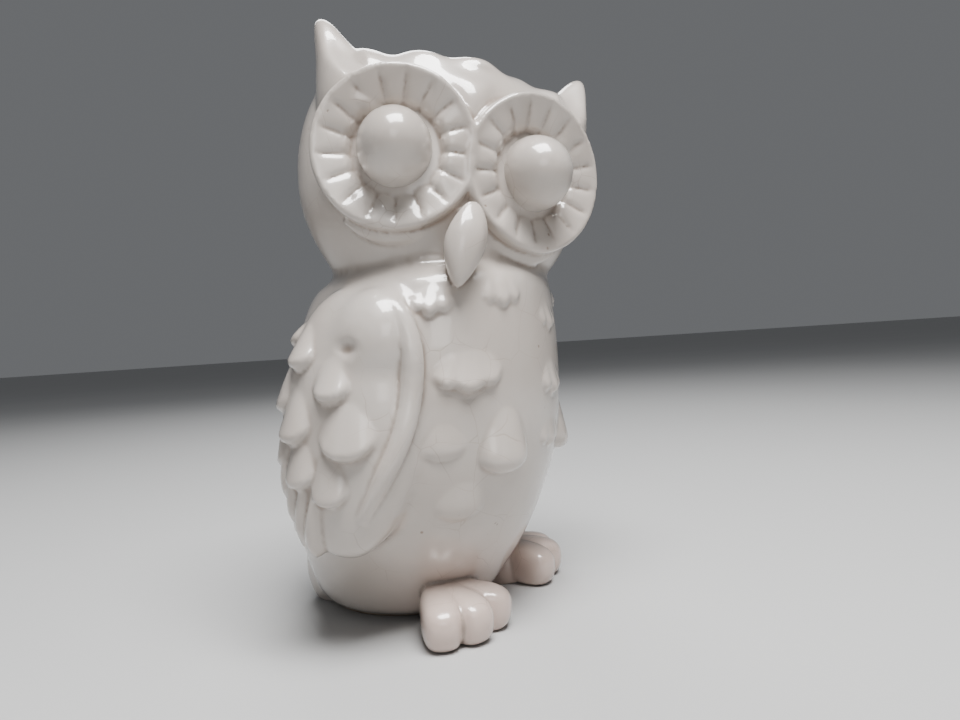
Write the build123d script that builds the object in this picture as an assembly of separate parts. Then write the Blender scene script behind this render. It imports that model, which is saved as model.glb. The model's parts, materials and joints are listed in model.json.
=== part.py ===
"""Owl figurine in glazed ceramic, as the hollow cast pieces and applied pieces that a potter joins with slip.

Units are millimetres. +Z is up, -Y is the way the chest faces and +X is the owl's left. The origin is where
the body's upright axis meets the surface that the figurine stands on. The head is turned towards the owl's
right and cocked, so its pieces are drawn in a head frame and then placed by head_place.
"""

from build123d import *
import os
from math import asin, cos, degrees, radians, sin, sqrt

os.makedirs("parts", exist_ok=True)

# ---- Body casting -------------------------------------------------------------------------------------
neck_height = 92.0          # joint plane between body and head
body_half_width = 38.0      # widest section, side to side
body_half_depth = 38.0      # widest section, front to back
wall = 4.0                  # cast wall of body and head
base_thickness = 4.0
pour_hole_radius = 5.0
base_back = 8.0             # middle of the base behind the body axis

# (share of neck height, share of half width, share of half depth, centre of the section along Y)
BODY_SECTIONS = [
    (0.00, 0.26, 0.42, base_back),
    (0.04, 0.35, 0.53, base_back),
    (0.09, 0.49, 0.69, 5.5),
    (0.15, 0.65, 0.79, 3.5),
    (0.24, 0.83, 0.86, 0.8),
    (0.34, 0.95, 0.93, -0.3),
    (0.47, 1.00, 1.00, -2.2),
    (0.62, 0.99, 1.00, -3.5),
    (0.76, 0.93, 0.96, -5.5),
    (0.90, 0.84, 0.88, -7.7),
    (1.00, 0.77, 0.81, -10.0),
]

# ---- Head casting, in the head frame: origin between the eye discs, -Y the way the face looks -----------
head_yaw = -46.6            # turned towards the owl's right
head_pitch = -3.9           # looking slightly up
head_roll = 9.4             # owl's left side lower
face_forward = (-17.1, -30.3)
face_above_neck = 22.5
head_half_width = 39.0
head_half_depth = 26.5
head_centre_back = 26.0     # behind the face origin
head_crown = 29.0           # above the face origin
head_underside = -36.0      # below the face origin, cut away by the joint plane

# (share of the way from underside to crown, share of half width, share of half depth)
HEAD_SECTIONS = [
    (0.00, 0.45, 0.60),
    (0.16, 0.70, 0.85),
    (0.34, 0.93, 0.97),
    (0.54, 1.00, 1.00),
    (0.72, 0.99, 0.98),
    (0.87, 0.92, 0.92),
    (0.96, 0.80, 0.80),
    (1.00, 0.62, 0.62),
]

# ---- Face -----------------------------------------------------------------------------------------------
disc_radius = 19.8
disc_spacing = 18.5         # each disc centre from the middle of the face
disc_splay = 17.1           # discs face outwards by this
disc_tilt = -4.4            # and slightly down
disc_thickness = 12.0       # its outer edge reaches back to the side of the head
disc_floor = 1.6            # clay left under the dish
pocket_radius = disc_radius - 1.8  # recess in the head that each disc is seated in
disc_dish = 2.2             # hollow of the dish at its middle
disc_rim = 1.1              # width of the raised rim
petal_count = 17
petal_groove = 0.8
petal_groove_depth = 0.7
eyeball_radius = 9.4
eyeball_proud = 8.0         # in front of the rim plane
beak_half_width = 5.8
beak_half_length = 12.0
beak_half_thickness = 5.0
beak_drop = 20.0            # beak centre below the face origin
beak_proud = 3.5            # and in front of it
ear_tip = (37.4, 20.6, 37.0)
ear_root = (22.0, 19.0, 10.0)
ear_root_radius = 15.0
ear_tip_radius = 2.4
brow_half_width = 6.5
brow_half_height = 11.0
brow_half_depth = 5.0
brow_back = 1.0             # and behind it
brow_rise = 15.0            # brow centre above the face origin
crown_half_width = 6.0
crown_half_length = 8.0
crown_half_thickness = 2.6
crown_sink = 1.3            # middles of the crown tufts below the crown
CROWN_TUFTS = [(-10.0, 14.0), (2.0, 12.0), (13.0, 17.0)]

# ---- Wings, tail and feet -------------------------------------------------------------------------------
wing_half_length = 32.0
wing_half_width = 19.5
wing_half_thickness = 7.0
wing_height = 56.0
wing_angle = 89.0           # round the body from the chest line
wing_lean = 10.0            # lower end swept towards the back
covert_half_width = 5.2
covert_half_length = 7.5
covert_half_thickness = 2.4
covert_lift = 8.0           # lower lip tipped outwards
COVERTS = [                 # middles of the scallops: along the wing from its middle, across it
    (14.8, 10.0),
    (8.3, -0.8),
    (-2.5, 8.2),
    (-3.1, -7.2),
    (-11.6, 5.2),
    (-13.2, -3.3),
]
flight_half_width = 3.6
flight_half_length = 11.0
flight_half_thickness = 2.6
flight_lift = 6.0
flight_along = -21.0        # middles of the feathers, along the wing from its middle
FLIGHT_FEATHERS = [8.0, 2.5, -3.0]  # and across it
tail_half_width = 12.0
tail_half_thickness = 9.0
tail_half_length = 11.0
tail_back = 26.0            # tail middle behind the body axis
tail_rise = 8.0             # and above the floor
toe_half_width = 5.4
toe_half_length = 10.5
toe_half_height = 5.8
toe_rise = 5.2              # toe middle above the floor
instep_half_height = 9.0
foot_reach = 13.5           # ankle in front of the body axis
foot_spread = 19.5          # ankle from the middle plane
TOE_TURNS = [-11.0, 25.0, 53.0]  # each toe, turned outwards from straight ahead

# ---- Chest feathers ---------------------------------------------------------------------------------------
tuft_half_width = 6.0
tuft_half_length = 8.0
tuft_half_thickness = 2.6
tuft_lift = 6.0             # lower lip tipped outwards
# (height of the lower lip, angles round the body from the chest line)
TUFT_ROWS = [
    (78.0, (-62.0, -31.0, 0.0, 31.0, 62.0)),
    (59.0, (-47.0, 0.0, 47.0)),
    (42.0, (-59.0, -29.0, 0.0, 29.0, 59.0)),
]


def ellipsoid(half_x, half_y, half_z):
    """An ellipsoid about the origin."""
    return scale(Sphere(1), by=(half_x, half_y, half_z))


def lofted(sections):
    """A smooth closed solid through (z, half width, half depth, y) ellipses."""
    return loft([Plane((0, y, z)) * Ellipse(a, b) for z, a, b, y in sections])


def body_sections(inset=0.0):
    """The body's ellipses in millimetres, drawn in by inset."""
    return [
        (h * neck_height, w * body_half_width - inset, d * body_half_depth - inset, y)
        for h, w, d, y in BODY_SECTIONS
    ]


def between(sections, z):
    """The ellipse at height z, by straight interpolation: half width, half depth, centre."""
    for low, high in zip(sections, sections[1:]):
        if z <= high[0]:
            t = (z - low[0]) / (high[0] - low[0])
            return [p + t * (q - p) for p, q in zip(low[1:], high[1:])]
    return list(sections[-1][1:])


def on_body(angle, z):
    """A place on the body's skin: x runs round the body, y up it and z straight out of it."""
    a, b, y = between(body_sections(), z)
    above = between(body_sections(), z + 3)
    turn = radians(angle)
    skin = Vector(a * sin(turn), y - b * cos(turn), z)
    over = Vector(above[0] * sin(turn), above[2] - above[1] * cos(turn), z + 3)
    round_body = Vector(a * cos(turn), b * sin(turn), 0).normalized()
    outward = round_body.cross(over - skin)
    return Plane(skin, x_dir=round_body, z_dir=outward)


def cut_from(piece, *others):
    """What is left of piece where the others already are."""
    for other in others:
        piece = piece - other
    return piece


def largest(piece):
    """The piece without the crumbs that a cut has parted from it."""
    return piece.solids().sort_by(SortBy.VOLUME)[-1]


def mirrored(piece):
    """The same piece on the owl's other side."""
    return mirror(piece, about=Plane.YZ)


# ---- Castings ----------------------------------------------------------------------------------------------
below_floor = Pos(0, 0, -100) * Box(300, 300, 200)
body_core = lofted(body_sections())
cavity = lofted([s for s in body_sections(wall) if s[0] >= base_thickness - 1])
below_joint = Pos(0, 0, neck_height - 100) * Box(300, 300, 200)
base_slab = Pos(0, 0, base_thickness / 2) * Box(300, 300, base_thickness)
pour_hole = Pos(0, base_back, 0) * Cylinder(pour_hole_radius, 3 * base_thickness)
base_plate = (body_core & base_slab) - pour_hole
body_shell = body_core - base_slab - cavity

head_place = (
    Pos(face_forward[0], face_forward[1], neck_height + face_above_neck)
    * Rot(0, 0, head_yaw)
    * Rot(head_pitch, 0, 0)
    * Rot(0, head_roll, 0)
)


def head_sections(inset=0.0):
    """The head's ellipses in the head frame, drawn in by inset."""
    height = head_crown - head_underside - 2 * inset
    return [
        (
            head_underside + inset + h * height,
            w * head_half_width - inset,
            d * head_half_depth - inset,
            head_centre_back,
        )
        for h, w, d in HEAD_SECTIONS
    ]


head_solid = head_place * lofted(head_sections()) - below_joint


# ---- Face pieces, drawn in the head frame -------------------------------------------------------------------
def disc_place(side):
    """The middle of a disc's rim plane, with z out of the face."""
    face = Plane((side * disc_spacing, 0, 0), x_dir=(1, 0, 0), z_dir=(0, -1, 0))
    return face.location * Rot(0, side * disc_splay, 0) * Rot(-disc_tilt, 0, 0)


pocket_middle = disc_thickness - disc_dish - disc_floor
disc_pocket = Pos(0, 0, pocket_middle) * Cylinder(pocket_radius, 2 * disc_thickness)
head_core = cut_from(head_solid, *[head_place * disc_place(side) * disc_pocket for side in (-1, 1)])
head_shell = head_core - head_place * lofted(head_sections(wall))


def eye_disc():
    """A dished disc with a raised rim and radial grooves between its petals, rim plane at z = 0."""
    profile = Polyline(
        (0, -disc_thickness),
        (disc_radius - 1, -disc_thickness),
        (disc_radius, -1),
        (disc_radius - disc_rim / 2, 0),
        (disc_radius - disc_rim, -0.4),
        (eyeball_radius, -disc_dish),
        (0, -disc_dish),
        close=True,
    )
    dish = revolve(Plane.XZ * make_face(profile), Axis.Z)
    reach = disc_radius - disc_rim - eyeball_radius
    middle = (disc_radius - disc_rim + eyeball_radius) / 2
    slope = degrees(asin((disc_dish - 0.4) / reach))
    depth = (disc_dish + 0.4) / 2
    groove = Pos(middle, 0, -depth) * Rot(0, -slope, 0) * Box(reach, petal_groove, 2 * petal_groove_depth)
    for turn in range(petal_count):
        dish = dish - Rot(0, 0, turn * 360 / petal_count) * groove
    return dish


def eyeball():
    """A domed eye, standing out of the disc."""
    return Pos(0, 0, eyeball_proud - eyeball_radius) * Sphere(eyeball_radius)


def ear():
    """The owl's left ear tuft: a horn that leans outwards."""
    root = Vector(*ear_root)
    axis = Vector(*ear_tip) - root
    place = Plane(root, z_dir=axis)
    horn = Pos(0, 0, axis.length / 2) * Cone(ear_root_radius, ear_tip_radius, axis.length)
    return place.location * fillet(horn.edges().group_by(Axis.Z)[-1], ear_tip_radius * 0.8)


right_eye_disc = cut_from(head_place * disc_place(-1) * eye_disc(), head_core)
left_disc_cut = cut_from(head_place * disc_place(1) * eye_disc(), head_core, right_eye_disc, body_core)
left_eye_disc = largest(left_disc_cut)
right_eyeball = cut_from(head_place * disc_place(-1) * eyeball(), head_core, right_eye_disc)
left_eyeball = cut_from(head_place * disc_place(1) * eyeball(), head_core, left_eye_disc)
discs = [right_eye_disc, left_eye_disc]

left_ear = cut_from(head_place * ear(), head_core, *discs)
right_ear = cut_from(head_place * mirrored(ear()), head_core, *discs)

beak_solid = Pos(0, -beak_proud, -beak_drop) * ellipsoid(
    beak_half_width, beak_half_thickness, beak_half_length
)
beak = cut_from(head_place * beak_solid, head_core, body_core, *discs)

brow_solid = Pos(0, brow_back, brow_rise) * ellipsoid(brow_half_width, brow_half_depth, brow_half_height)
brow_ridge = cut_from(head_place * brow_solid, head_core, *discs)

tuft = ellipsoid(crown_half_width, crown_half_length, crown_half_thickness)
crown = [
    cut_from(head_place * Pos(x, y, head_crown - crown_sink) * tuft, head_core, brow_ridge, *discs)
    for x, y in CROWN_TUFTS
]
crown_tufts = Compound(children=crown)


# ---- Wings --------------------------------------------------------------------------------------------------
def wing_place():
    """The middle of the owl's left wing: x runs backwards, y up the wing and z out of it."""
    return on_body(wing_angle, wing_height).location * Rot(0, 0, wing_lean)


def on_wing(along, across, flat):
    """A place on the wing's outer face, across and along the wing from its middle."""
    lift = wing_half_thickness * sqrt(1 - (across / wing_half_width) ** 2 - (along / wing_half_length) ** 2)
    return wing_place() * Pos(across, along, lift) * Rot(flat, 0, 0)


left_wing = wing_place() * ellipsoid(wing_half_width, wing_half_length, wing_half_thickness)
left_wing = cut_from(left_wing, body_core, head_core)
right_wing = mirrored(left_wing)

covert = ellipsoid(covert_half_width, covert_half_length, covert_half_thickness)
coverts = []
for along, across in COVERTS:
    scallop = on_wing(along, across, covert_lift) * covert
    coverts.append(cut_from(scallop, left_wing, body_core, *coverts))
left_coverts = Compound(children=coverts)

quill = ellipsoid(flight_half_width, flight_half_length, flight_half_thickness)
quills = []
for across in FLIGHT_FEATHERS:
    feather = on_wing(flight_along, across, flight_lift) * quill
    quills.append(cut_from(feather, left_wing, body_core, *coverts, *quills))
left_flight = Compound(children=quills)

# ---- Tail and feet --------------------------------------------------------------------------------------------
tail_solid = Pos(0, tail_back, tail_rise) * ellipsoid(tail_half_width, tail_half_thickness, tail_half_length)
tail = cut_from(tail_solid, body_core, below_floor, left_wing, right_wing)


def foot():
    """The owl's left foot: three rounded toes spread from one ankle, standing on the floor."""
    ankle = Pos(foot_spread, -foot_reach, toe_rise)
    whole = ankle * ellipsoid(toe_half_width, toe_half_length, instep_half_height)
    for turn in TOE_TURNS:
        toe = Pos(0, -toe_half_length, 0) * ellipsoid(toe_half_width, toe_half_length, toe_half_height)
        whole = whole + ankle * Rot(0, 0, turn) * toe
    return whole - below_floor - body_core


left_foot = foot()

# ---- Chest feathers ---------------------------------------------------------------------------------------------
tuft_solid = Pos(0, tuft_half_length, 0) * Rot(tuft_lift, 0, 0) * ellipsoid(
    tuft_half_width, tuft_half_length, tuft_half_thickness
)
neighbours = [body_core, left_wing, right_wing, head_core, beak, *discs]
tufts = [
    cut_from(on_body(angle, height).location * tuft_solid, *neighbours)
    for height, angles in TUFT_ROWS
    for angle in angles
]
chest_feathers = Compound(children=tufts)

# ---- Output ---------------------------------------------------------------------------------------------------
pieces = {
    "body_shell": body_shell,
    "head_shell": head_shell,
    "base_plate": base_plate,
    "right_eye_disc": right_eye_disc,
    "left_eye_disc": left_eye_disc,
    "right_eyeball": right_eyeball,
    "left_eyeball": left_eyeball,
    "right_ear": right_ear,
    "left_ear": left_ear,
    "beak": beak,
    "brow_ridge": brow_ridge,
    "crown_tufts": crown_tufts,
    "right_wing": right_wing,
    "left_wing": left_wing,
    "right_wing_coverts": mirrored(left_coverts),
    "left_wing_coverts": left_coverts,
    "right_flight_feathers": mirrored(left_flight),
    "left_flight_feathers": left_flight,
    "tail": tail,
    "right_foot": mirrored(left_foot),
    "left_foot": left_foot,
    "chest_feathers": chest_feathers,
}
for name, piece in pieces.items():
    export_step(piece, f"parts/{name}.step")
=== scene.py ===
"""Glazed ceramic owl figurine, modelled as clay: thrown forms, laid-on feathers, petalled discs, glaze.

Sizes are millimetres in the dataclasses and metres in the meshes. +Z is up, -Y is the way the chest faces and
+X is the owl's left. The head is turned towards the owl's right, so its pieces are shaped in a head frame.
"""

import json
import logging
import math
from collections.abc import Callable
from dataclasses import dataclass, field
from enum import Enum

import bmesh
import bpy
from mathutils import Matrix, Vector
from mathutils.bvhtree import BVHTree

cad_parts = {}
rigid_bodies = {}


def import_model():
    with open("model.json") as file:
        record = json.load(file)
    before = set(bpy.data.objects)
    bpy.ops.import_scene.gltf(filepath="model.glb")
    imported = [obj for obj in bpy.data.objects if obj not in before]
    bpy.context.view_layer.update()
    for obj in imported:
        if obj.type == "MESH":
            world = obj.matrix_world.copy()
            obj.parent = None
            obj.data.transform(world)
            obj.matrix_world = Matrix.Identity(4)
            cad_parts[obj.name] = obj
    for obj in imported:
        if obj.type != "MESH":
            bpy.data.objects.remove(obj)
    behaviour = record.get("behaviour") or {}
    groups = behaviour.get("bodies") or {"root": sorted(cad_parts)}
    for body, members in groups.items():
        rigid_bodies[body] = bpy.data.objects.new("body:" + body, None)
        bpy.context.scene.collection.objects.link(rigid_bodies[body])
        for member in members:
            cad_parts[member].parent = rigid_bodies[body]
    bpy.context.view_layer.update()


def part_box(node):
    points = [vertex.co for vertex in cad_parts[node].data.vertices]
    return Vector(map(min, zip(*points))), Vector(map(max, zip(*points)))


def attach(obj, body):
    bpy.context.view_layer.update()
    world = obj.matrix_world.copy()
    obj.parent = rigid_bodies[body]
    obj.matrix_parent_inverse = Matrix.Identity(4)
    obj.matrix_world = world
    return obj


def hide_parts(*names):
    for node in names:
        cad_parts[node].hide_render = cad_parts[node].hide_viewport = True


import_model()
MM = 0.001
LOG = logging.getLogger("owl")

# Feathers, in millimetres: the edge starts this far under the skin, the lip drops this far, the underside
# lies this far down, and the grid that a feather is drawn on is this wide for its half width and starts this
# far below its lip.
BED, DROP, UNDERSIDE = 0.35, -1.6, -2.6
GRID_WIDTH, GRID_BELOW, GRID_CELLS = 2.3, 1.6, 34

# A parted piece is closed by a skirt this many millimetres deep and a fan to a point this share of its
# opening's radius behind it.
SKIRT, APEX = 0.9, 0.75


class Side(Enum):
    """Which side of the owl a paired piece is on, as the sign of its X."""

    RIGHT = -1
    LEFT = 1

    @property
    def word(self) -> str:
        """The side as it stands in a piece's name."""
        return self.name.lower()


def turned(x: float = 0.0, y: float = 0.0, z: float = 0.0) -> Matrix:
    """A rotation about X, then Y, then Z.

    Args:
        x: degrees about X.
        y: degrees about Y.
        z: degrees about Z.

    Returns:
        The rotation as a 4 by 4 matrix.
    """
    about_x = Matrix.Rotation(math.radians(x), 4, "X")
    about_y = Matrix.Rotation(math.radians(y), 4, "Y")
    return Matrix.Rotation(math.radians(z), 4, "Z") @ about_y @ about_x


def moved(x: float = 0.0, y: float = 0.0, z: float = 0.0) -> Matrix:
    """A shift in millimetres as a 4 by 4 matrix."""
    return Matrix.Translation((x, y, z))


def axes(origin: Vector, x_dir: Vector, z_dir: Vector) -> Matrix:
    """A place from its origin and two of its directions.

    Args:
        origin: where the place is, in millimetres.
        x_dir: roughly its X, straightened against z_dir.
        z_dir: its Z.

    Returns:
        The place as a 4 by 4 matrix.
    """
    z_axis = z_dir.normalized()
    x_axis = (x_dir - x_dir.dot(z_axis) * z_axis).normalized()
    y_axis = z_axis.cross(x_axis)
    return Matrix.Translation(origin) @ Matrix((x_axis, y_axis, z_axis)).transposed().to_4x4()


@dataclass(frozen=True)
class Scallop:
    """A feather's sizes in millimetres, and the form of its upper side.

    The lip is curved by bow and notched between its lobes. The upper side is rolled over an edge, falls off
    to both sides by shoulder and, further up, by narrowing, and melts into the skin above. A groove runs up
    from each notch.
    """

    half: float
    length: float
    proud: float
    lobes: int = 1
    bow: float = 0.8
    groove: float = 0.75
    edge: float = 2.6
    melt: float = 1.9
    notch: float = 0.8
    groove_width: float = 0.2
    shoulder: float = 0.3
    narrowing: float = 1.9

    def height(self, across: float, above: float) -> float:
        """How far the upper side stands off the skin.

        Args:
            across: distance from the feather's middle line.
            above: distance above the middle of its lip.

        Returns:
            The height, below zero where the feather has sunk into the skin.
        """
        up = min(1.0, max(0.0, above) / self.length)
        half = self.half * math.sqrt(max(0.04, 1 - up * up))
        share = across / half
        round_off = math.sqrt(max(0.0, 1 - min(1.0, abs(share)) ** 2))
        lobe = (share + 1) / 2 * self.lobes
        cusp = abs(lobe - round(lobe)) if 0.5 < lobe < self.lobes - 0.5 else 0.5
        lip = self.bow * half * (1 - round_off)
        if self.lobes > 1:
            lip += self.notch * max(0.0, 1 - cusp / 0.5) ** 1.4
        inside = above - lip
        near = min(inside, (1.02 - abs(share)) * half)
        if near <= 0:
            return max(DROP, near * 1.6 - BED)
        dome = max(0.0, 1 - share * share) ** (self.shoulder + self.narrowing * up)
        roll = dome * math.sqrt(1 - (1 - min(1.0, inside / self.edge)) ** 2)
        fade = max(0.0, 1 - max(0.0, inside) / self.length) ** self.melt
        crest = 0.0
        if self.lobes > 1:
            crest = self.groove * math.exp(-((cusp / self.groove_width) ** 2)) * fade
        return (self.proud + BED) * roll * fade - crest - BED


class Bench:
    """Work with Blender's operators on one object at a time, as done by hand."""

    @staticmethod
    def hold(*objects: bpy.types.Object) -> None:
        """Selects these objects alone and makes the first one active."""
        if bpy.context.object and bpy.context.object.mode != "OBJECT":
            bpy.ops.object.mode_set(mode="OBJECT")
        bpy.ops.object.select_all(action="DESELECT")
        for item in objects:
            item.select_set(True)
        bpy.context.view_layer.objects.active = objects[0]

    @staticmethod
    def let_go() -> None:
        """Leaves nothing selected, so that a new primitive is the only thing an operator acts on."""
        bpy.ops.object.select_all(action="DESELECT")

    @staticmethod
    def take_up() -> None:
        """Goes into edit mode with the whole mesh selected."""
        bpy.ops.object.mode_set(mode="EDIT")
        bpy.ops.mesh.select_all(action="SELECT")

    @staticmethod
    def turn_out() -> None:
        """Points every face outwards and goes back to object mode."""
        bpy.ops.mesh.select_all(action="SELECT")
        bpy.ops.mesh.normals_make_consistent(inside=False)
        bpy.ops.object.mode_set(mode="OBJECT")

    @staticmethod
    def laid_out(name: str, data: bpy.types.ID) -> bpy.types.Object:
        """A new object of a mesh or a curve, held alone."""
        item = bpy.data.objects.new(name, data)
        bpy.context.scene.collection.objects.link(item)
        Bench.hold(item)
        return item

    @staticmethod
    def set_down(item: bpy.types.Object, name: str, place: Matrix) -> bpy.types.Object:
        """Names a new piece and puts its place, in millimetres, into its mesh.

        Args:
            item: the piece, shaped in millimetres about its own origin.
            name: its name.
            place: where it goes.

        Returns:
            The piece, with its object at the origin.
        """
        item.data.transform(item.matrix_world)
        item.matrix_world = Matrix.Identity(4)
        item.data.transform(Matrix.Scale(MM, 4) @ place)
        if place.determinant() < 0:
            item.data.flip_normals()
        item.name = name
        item.data.name = name
        return item

    @staticmethod
    def ball(name: str, place: Matrix, half: tuple[float, float, float]) -> bpy.types.Object:
        """A ball of clay pressed to three half sizes.

        Args:
            name: the piece that this clay belongs to.
            place: its middle and the way it is turned.
            half: half sizes along its own axes.

        Returns:
            The new object.
        """
        Bench.let_go()
        sides = max(28, int(5.5 * max(half)))
        bpy.ops.mesh.primitive_uv_sphere_add(segments=sides, ring_count=sides // 2, radius=1)
        bpy.ops.object.mode_set(mode="EDIT")
        bpy.ops.transform.resize(value=half)
        bpy.ops.object.mode_set(mode="OBJECT")
        return Bench.set_down(bpy.context.object, name, place)

    @staticmethod
    def rings(
        name: str, place: Matrix, sections: list[tuple[float, ...]], sides: int = 48
    ) -> bpy.types.Object:
        """A form drawn up ring by ring, as on a wheel, then closed at both ends.

        Args:
            name: the piece that this clay belongs to.
            place: where the form's own axes are.
            sections: height, half width, half depth and middle along Y of each ring, and then its middle
                along X where that isn't 0.
            sides: points round each ring.

        Returns:
            The new object.
        """
        Bench.let_go()
        height, wide, deep, middle, aside = (*sections[0], 0.0)[:5]
        bpy.ops.mesh.primitive_circle_add(vertices=sides, radius=1, fill_type="NGON")
        bpy.ops.object.mode_set(mode="EDIT")
        bpy.ops.transform.resize(value=(wide, deep, 1))
        bpy.ops.transform.translate(value=(aside, middle, height))
        for section in sections[1:]:
            high, next_wide, next_deep, next_middle, next_aside = (*section, 0.0)[:5]
            step = (next_aside - aside, next_middle - middle, high - height)
            bpy.ops.mesh.extrude_region_move(TRANSFORM_OT_translate={"value": step})
            bpy.ops.transform.resize(
                value=(next_wide / wide, next_deep / deep, 1), center_override=(next_aside, next_middle, high)
            )
            height, wide, deep, middle, aside = high, next_wide, next_deep, next_middle, next_aside
        Bench.turn_out()
        return Bench.subdivided(Bench.set_down(bpy.context.object, name, place), 2)

    @staticmethod
    def facets(name: str, place: Matrix, corners: list[tuple[float, float, float]]) -> bpy.types.Object:
        """A lump with flat faces between a few corners.

        Args:
            name: the piece that this clay belongs to.
            place: where the corners' own axes are.
            corners: the points that the lump spans.

        Returns:
            The new object.
        """
        mesh = bpy.data.meshes.new(name)
        mesh.from_pydata(corners, [], [])
        item = Bench.laid_out(name, mesh)
        Bench.take_up()
        bpy.ops.mesh.convex_hull()
        Bench.turn_out()
        return Bench.set_down(item, name, place)

    @staticmethod
    def slab(
        name: str, place: Matrix, outline: list[tuple[float, float]], low: float, high: float, crown: float
    ) -> bpy.types.Object:
        """A flat piece of clay with a rounded outline and softened edges.

        Args:
            name: the piece that this clay belongs to.
            place: where the slab's own axes are.
            outline: points round its edge.
            low: its underside along Z.
            high: its upper side along Z.
            crown: how much smaller the upper side is, as a share.

        Returns:
            The new object.
        """
        mesh = bpy.data.meshes.new(name)
        mesh.from_pydata([(x, y, low) for x, y in outline], [], [list(range(len(outline)))])
        item = Bench.laid_out(name, mesh)
        Bench.take_up()
        count = len(outline)
        middle = (sum(x for x, _ in outline) / count, sum(y for _, y in outline) / count, high)
        for share, rise in ((1.0, 0.6), (crown, 0.4)):
            bpy.ops.mesh.extrude_region_move(
                TRANSFORM_OT_translate={"value": (0, 0, (high - low) * rise)}
            )
            bpy.ops.transform.resize(value=(share, share, 1), center_override=middle)
        bpy.ops.mesh.inset(thickness=2.0)
        Bench.turn_out()
        return Bench.subdivided(Bench.set_down(item, name, place), 3)

    @staticmethod
    def feather(name: str, skin: Callable[[float, float], Matrix], cut: Scallop) -> bpy.types.Object:
        """A feather laid on a skin: it rises out of it slowly and ends in a lip that drops sharply.

        Args:
            name: the piece that this clay belongs to.
            skin: gives the place on the skin so far across and so far above the lip.
            cut: the feather's sizes.

        Returns:
            The new object, closed underneath.
        """
        Bench.let_go()
        bpy.ops.mesh.primitive_grid_add(x_subdivisions=GRID_CELLS, y_subdivisions=GRID_CELLS, size=1)
        item = bpy.context.object
        Bench.take_up()
        bpy.ops.mesh.extrude_region_move(TRANSFORM_OT_translate={"value": (0, 0, 1)})
        bpy.ops.object.mode_set(mode="OBJECT")
        for vertex in item.data.vertices:
            across = vertex.co.x * GRID_WIDTH * cut.half
            above = (vertex.co.y + 0.5) * (cut.length + GRID_BELOW) - GRID_BELOW
            rise = cut.height(across, above) if vertex.co.z > 0.5 else UNDERSIDE
            vertex.co = skin(across, above) @ Vector((0, 0, rise))
        bpy.ops.object.mode_set(mode="EDIT")
        Bench.turn_out()
        return Bench.set_down(item, name, Matrix.Identity(4))

    @staticmethod
    def pebble(
        name: str, place: Matrix, half: tuple[float, float, float], square: float
    ) -> bpy.types.Object:
        """A rounded block of clay, fuller at its corners than a ball.

        Args:
            name: the piece that this clay belongs to.
            place: its middle and the way it is turned.
            half: half sizes along its own axes.
            square: from 0, like a ball, to 1, like a block.

        Returns:
            The new object.
        """
        Bench.let_go()
        bpy.ops.mesh.primitive_cube_add(size=2)
        item = Bench.subdivided(Bench.creased(bpy.context.object, square), 4)
        reach = max(vertex.co.x for vertex in item.data.vertices)
        grow = Matrix.Diagonal((half[0] / reach, half[1] / reach, half[2] / reach, 1))
        return Bench.set_down(item, name, place @ grow)

    @staticmethod
    def roll(
        name: str, place: Matrix, path: list[tuple[float, float, float]], radii: list[float]
    ) -> bpy.types.Object:
        """A thin roll of clay laid along a smooth path.

        Args:
            name: the piece that this clay belongs to.
            place: where the path's own axes are.
            path: the points it follows.
            radii: its radius at each point.

        Returns:
            The new object, as a closed mesh.
        """
        line = bpy.data.curves.new(name, "CURVE")
        line.dimensions = "3D"
        line.bevel_depth = 1.0
        line.bevel_resolution = 4
        line.use_fill_caps = True
        spline = line.splines.new("NURBS")
        spline.points.add(len(path) - 1)
        for point, where, radius in zip(spline.points, path, radii):
            point.co = (*where, 1.0)
            point.radius = radius
        spline.use_endpoint_u = True
        spline.order_u = 3
        Bench.laid_out(name, line)
        bpy.ops.object.convert(target="MESH")
        Bench.take_up()
        bpy.ops.mesh.remove_doubles(threshold=0.001)
        bpy.ops.mesh.fill_holes(sides=0)
        Bench.turn_out()
        return Bench.set_down(bpy.context.object, name, place)

    @staticmethod
    def finish_with(item: bpy.types.Object, kind: str, **settings: object) -> bpy.types.Object:
        """Adds one modifier, sets it and applies it.

        Args:
            item: the piece.
            kind: the modifier's type.
            settings: its settings by name.

        Returns:
            The same piece.
        """
        Bench.hold(item)
        work = item.modifiers.new(kind.lower(), kind)
        for key, value in settings.items():
            setattr(work, key, value)
        bpy.ops.object.modifier_apply(modifier=work.name)
        return item

    @staticmethod
    def subdivided(item: bpy.types.Object, levels: int) -> bpy.types.Object:
        """The piece with its surface subdivided and rounded."""
        return Bench.finish_with(item, "SUBSURF", levels=levels, render_levels=levels)

    @staticmethod
    def creased(item: bpy.types.Object, amount: float) -> bpy.types.Object:
        """Holds the piece's edges partly sharp when it is subdivided.

        Args:
            item: the piece.
            amount: from 0, quite round, to 1, sharp.

        Returns:
            The same piece.
        """
        Bench.hold(item)
        Bench.take_up()
        bpy.ops.transform.edge_crease(value=amount)
        bpy.ops.object.mode_set(mode="OBJECT")
        return item

    @staticmethod
    def fused(name: str, lumps: list[bpy.types.Object], voxel: float, rounds: int) -> bpy.types.Object:
        """Joins lumps into one skin and sponges it smooth.

        Args:
            name: the new object's name.
            lumps: closed lumps that run into each other; they are used up.
            voxel: the size of the new skin's faces, in millimetres.
            rounds: how many times it is smoothed.

        Returns:
            The fused object.
        """
        Bench.hold(*lumps)
        bpy.ops.object.join()
        whole = bpy.context.object
        whole.name = name
        whole.data.name = name
        Bench.finish_with(whole, "REMESH", mode="VOXEL", voxel_size=voxel * MM)
        if rounds:
            Bench.finish_with(whole, "SMOOTH", factor=0.5, iterations=rounds)
        return whole

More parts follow.
